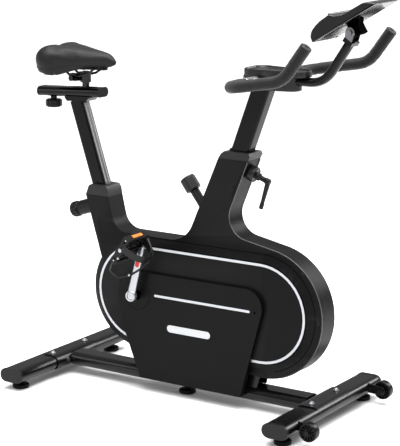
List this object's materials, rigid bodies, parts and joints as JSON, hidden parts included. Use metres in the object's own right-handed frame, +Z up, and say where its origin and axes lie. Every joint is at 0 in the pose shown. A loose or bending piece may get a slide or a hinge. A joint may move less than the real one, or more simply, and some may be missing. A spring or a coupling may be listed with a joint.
{
  "type": "exercise bike",
  "caption": "Upright exercise bike with twin-disc casing, belt-driven braked flywheel, adjustable saddle and handlebar, tilting console and levelling feet.",
  "frame": {"origin": "on the floor under the middle of the bike's bounding box", "axes": "+X towards the front of the bike (console end), +Y towards the rider's left, +Z up"},
  "size_m": [1.1556, 0.55, 1.1875],
  "materials": {
    "frame_steel": "satin black powder coat",
    "post_steel": "semi-gloss black paint",
    "end_cap": "matte dark grey",
    "bolt_steel": "zinc plated",
    "foot_rubber": "matte black",
    "wheel_plastic": "satin black",
    "casing_plastic": "fine grained charcoal black",
    "panel_plastic": "fine grained charcoal black",
    "collar_plastic": "satin dark grey",
    "trim_light": "light silver-white",
    "liner_plastic": "natural black",
    "bearing_steel": "ground",
    "belt_rubber": "ribbed",
    "knob_plastic": "satin black",
    "bright_steel": "ground",
    "crank_silver": "satin silver",
    "pedal_plastic": "satin black",
    "strap_plastic": "flexible black strap",
    "flywheel_iron": "machined rim",
    "carriage_steel": "zinc",
    "saddle_vinyl": "smooth dark grey vinyl over foam",
    "saddle_shell": "black moulding",
    "grip_foam": "closed cell foam",
    "sensor_plate": "polished",
    "cover_plastic": "satin dark grey",
    "bracket_steel": "satin",
    "console_plastic": "gloss black",
    "screen_glass": "gloss display window",
    "button_plastic": "grey"
  },
  "bodies": {
    "frame": {"floor_beam": "frame_steel", "rear_stabilizer": "frame_steel", "front_stabilizer": "frame_steel", "stabilizer_end_caps": "end_cap", "fasteners": "bolt_steel", "seat_tube": "frame_steel", "handlebar_tube": "frame_steel", "post_liners": "liner_plastic", "shaft_bearings": "bearing_steel", "casing_right": "casing_plastic", "casing_left": "casing_plastic", "lower_panel_right": "panel_plastic", "lower_panel_left": "panel_plastic", "trim_stripes": "trim_light", "crank_discs": "panel_plastic", "post_collars": "collar_plastic", "drive_belt": "belt_rubber", "knob_sleeves": "knob_plastic", "clamp_boss": "knob_plastic"},
    "foot_front_right": {"foot_front_right": "foot_rubber"},
    "foot_front_left": {"foot_front_left": "foot_rubber"},
    "foot_rear_right": {"foot_rear_right": "foot_rubber"},
    "foot_rear_left": {"foot_rear_left": "foot_rubber"},
    "foot_middle": {"foot_middle": "foot_rubber"},
    "transport_wheel_right": {"transport_wheel_right": "wheel_plastic"},
    "transport_wheel_left": {"transport_wheel_left": "wheel_plastic"},
    "crank": {"crank_axle": "bright_steel", "crank_pulley": "knob_plastic", "crank_arm_right": "crank_silver", "crank_arm_left": "crank_silver", "pedal_spindles": "bright_steel"},
    "pedal_right": {"pedal_right": "pedal_plastic", "pedal_strap_right": "strap_plastic"},
    "pedal_left": {"pedal_left": "pedal_plastic", "pedal_strap_left": "strap_plastic"},
    "flywheel": {"flywheel": "flywheel_iron", "flywheel_axle": "bright_steel"},
    "brake_rod": {"brake_rod": "bright_steel"},
    "resistance_knob": {"resistance_knob": "knob_plastic"},
    "brake_carriage": {"brake_carriage": "carriage_steel"},
    "seat": {"seat_post": "post_steel", "seat_rail": "post_steel"},
    "seat_pin": {"seat_pin": "bright_steel"},
    "seat_pin_knob": {"seat_pin_knob": "knob_plastic"},
    "saddle_carriage": {"saddle_carriage": "bright_steel"},
    "carriage_knob": {"carriage_knob": "knob_plastic"},
    "saddle": {"saddle_rails": "frame_steel", "saddle_base": "saddle_shell", "saddle_cushion": "saddle_vinyl"},
    "handlebar": {"handlebar_post": "post_steel", "handlebar": "post_steel", "handlebar_grips": "grip_foam", "pulse_sensors": "sensor_plate", "handlebar_cover": "cover_plastic", "console_mast": "post_steel", "console_bracket": "bracket_steel"},
    "clamp_lever": {"clamp_lever": "knob_plastic"},
    "console": {"console_housing": "console_plastic", "console_screen": "screen_glass"},
    "console_button": {"console_button": "button_plastic"}
  },
  "joints": [
    {"name": "seat_height", "type": "slide", "parent": "frame", "child": "seat", "axis": [-0.3107, 0, 0.9505], "range_m": [-0.15, 0.05]},
    {"name": "seat_pin_pull", "type": "slide", "parent": "frame", "child": "seat_pin", "axis": [-0.9505, 0, -0.3107], "range_m": [0, 0.01], "stiffness_N_per_m": 1500, "springref_m": -0.004},
    {"name": "seat_pin_turn", "type": "hinge", "parent": "seat_pin", "child": "seat_pin_knob", "pos_m": [-0.44593, 0, 0.51296], "axis": [0.9505, 0, 0.3107], "continuous": true},
    {"name": "saddle_slide", "type": "slide", "parent": "seat", "child": "saddle_carriage", "axis": [0.9989, 0, 0.0471], "range_m": [-0.02, 0.02]},
    {"name": "saddle_clamp_turn", "type": "hinge", "parent": "saddle_carriage", "child": "carriage_knob", "pos_m": [-0.53422, 0, 0.83], "axis": [0, 0, 1], "continuous": true},
    {"name": "saddle_tilt", "type": "hinge", "parent": "saddle_carriage", "child": "saddle", "pos_m": [-0.44222, 0, 0.912], "axis": [0, 1, 0], "range_deg": [-8, 8]},
    {"name": "handlebar_height", "type": "slide", "parent": "frame", "child": "handlebar", "axis": [0.3486, 0, 0.9373], "range_m": [-0.06, 0.04]},
    {"name": "clamp_lever_turn", "type": "hinge", "parent": "frame", "child": "clamp_lever", "pos_m": [0.18407, 0, 0.67804], "axis": [0.9373, 0, -0.3486], "continuous": true},
    {"name": "brake_push", "type": "slide", "parent": "frame", "child": "brake_rod", "axis": [0.6088, 0, -0.7934], "range_m": [0, 0.006], "stiffness_N_per_m": 4000, "springref_m": -0.005},
    {"name": "resistance_turn", "type": "hinge", "parent": "brake_rod", "child": "resistance_knob", "pos_m": [-0.05522, 0, 0.65], "axis": [0.6088, 0, -0.7934], "range_deg": [0, 1080]},
    {"name": "brake_advance", "type": "slide", "parent": "brake_rod", "child": "brake_carriage", "axis": [0.6088, 0, -0.7934], "range_m": [0, 0.008]},
    {"name": "flywheel_spin", "type": "hinge", "parent": "frame", "child": "flywheel", "pos_m": [0.22778, 0, 0.293], "axis": [0, 1, 0], "continuous": true},
    {"name": "crank_spin", "type": "hinge", "parent": "frame", "child": "crank", "pos_m": [-0.19322, 0, 0.295], "axis": [0, 1, 0], "continuous": true},
    {"name": "pedal_right_spin", "type": "hinge", "parent": "crank", "child": "pedal_right", "pos_m": [-0.15066, -0.152, 0.45959], "axis": [0, 1, 0], "continuous": true},
    {"name": "pedal_left_spin", "type": "hinge", "parent": "crank", "child": "pedal_left", "pos_m": [-0.23578, 0.152, 0.13042], "axis": [0, 1, 0], "continuous": true},
    {"name": "foot_front_right_level", "type": "slide", "parent": "frame", "child": "foot_front_right", "axis": [0, 0, -1], "range_m": [0, 0.01]},
    {"name": "foot_front_left_level", "type": "slide", "parent": "frame", "child": "foot_front_left", "axis": [0, 0, -1], "range_m": [0, 0.01]},
    {"name": "foot_rear_right_level", "type": "slide", "parent": "frame", "child": "foot_rear_right", "axis": [0, 0, -1], "range_m": [0, 0.01]},
    {"name": "foot_rear_left_level", "type": "slide", "parent": "frame", "child": "foot_rear_left", "axis": [0, 0, -1], "range_m": [0, 0.01]},
    {"name": "foot_middle_level", "type": "slide", "parent": "frame", "child": "foot_middle", "axis": [0, 0, -1], "range_m": [0, 0.01]},
    {"name": "transport_wheel_right_spin", "type": "hinge", "parent": "frame", "child": "transport_wheel_right", "pos_m": [0.48378, -0.2175, 0.0447], "axis": [0, 1, 0], "continuous": true},
    {"name": "transport_wheel_left_spin", "type": "hinge", "parent": "frame", "child": "transport_wheel_left", "pos_m": [0.48378, 0.2175, 0.0447], "axis": [0, 1, 0], "continuous": true},
    {"name": "console_tilt", "type": "hinge", "parent": "handlebar", "child": "console", "pos_m": [0.47778, 0, 1.1], "axis": [0, 1, 0], "range_deg": [-20, 20]},
    {"name": "button_press", "type": "slide", "parent": "console", "child": "console_button", "axis": [0.6401, 0, -0.7683], "range_m": [0, 0.001], "stiffness_N_per_m": 800, "springref_m": -0.0006}
  ],
  "couplings": [
    {"joint": "crank_spin", "follows": "flywheel_spin", "ratio": 0.21053},
    {"joint": "brake_advance", "follows": "resistance_turn", "m_per_rad": 0.000424}
  ]
}
